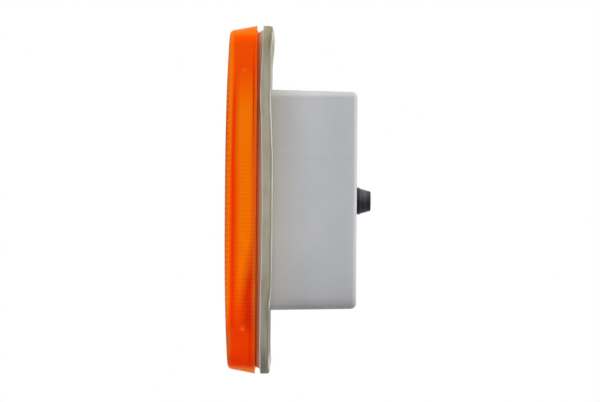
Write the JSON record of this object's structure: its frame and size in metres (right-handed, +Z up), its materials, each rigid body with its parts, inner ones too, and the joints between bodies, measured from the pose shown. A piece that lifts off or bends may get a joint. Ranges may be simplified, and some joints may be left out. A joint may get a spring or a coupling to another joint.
{
  "type": "vehicle indicator lamp",
  "caption": "Flush-mounted direction indicator with a bowed amber lens, gasketed flange, deep rear housing, bayonet bulb in a reflector and a rubber cable grommet.",
  "frame": {"origin": "centre of the panel fixing holes, on the gasket face that meets the panel", "axes": "+Y to the rear, through the panel; +Z up along the length of the lens; +X across the lens"},
  "size_m": [0.1, 0.0764, 0.18],
  "materials": {
    "lens": "clear amber moulding, glossy outside, fluted inside",
    "lens_screws": "bright plated, cross recess",
    "screw_washers": "matt",
    "screw_inserts": "turned",
    "lens_seal": "matt",
    "housing": "light grey moulding, satin, warm cast near the gasket",
    "panel_gasket": "greenish grey, mottled, slightly wavy edges",
    "grommet": "black, semi-matt",
    "reflector": "metallised, bright",
    "reflector_screws": "zinc plated",
    "holder_bracket": "zinc plated",
    "holder_rivets": "bright",
    "holder_shell": "zinc plated",
    "holder_base": "brown moulded insulator",
    "contact_disc": "pressed fibre",
    "contact_plunger": "turned",
    "contact_spring": "drawn wire",
    "live_terminal": "pressed",
    "earth_terminal": "pressed",
    "bulb_glass": "clear",
    "bulb_stem": "clear, drawn",
    "bulb_leads": "drawn wire",
    "bulb_filament": "dull tungsten grey",
    "bulb_cap": "pressed, bright",
    "bulb_pins": "turned",
    "bulb_insulator": "black glass",
    "bulb_contact": "solder grey"
  },
  "bodies": {
    "root": {"lens": "lens", "lens_screws": "lens_screws", "screw_washers": "screw_washers", "screw_inserts": "screw_inserts", "lens_seal": "lens_seal", "housing": "housing", "panel_gasket": "panel_gasket", "grommet": "grommet", "reflector": "reflector", "reflector_screws": "reflector_screws", "holder_bracket": "holder_bracket", "holder_rivets": "holder_rivets", "holder_shell": "holder_shell", "holder_base": "holder_base", "contact_disc": "contact_disc", "contact_plunger": "contact_plunger", "contact_spring": "contact_spring", "live_terminal": "live_terminal", "earth_terminal": "earth_terminal", "bulb_glass": "bulb_glass", "bulb_stem": "bulb_stem", "bulb_leads": "bulb_leads", "bulb_filament": "bulb_filament", "bulb_cap": "bulb_cap", "bulb_pins": "bulb_pins", "bulb_insulator": "bulb_insulator", "bulb_contact": "bulb_contact"}
  },
  "joints": []
}
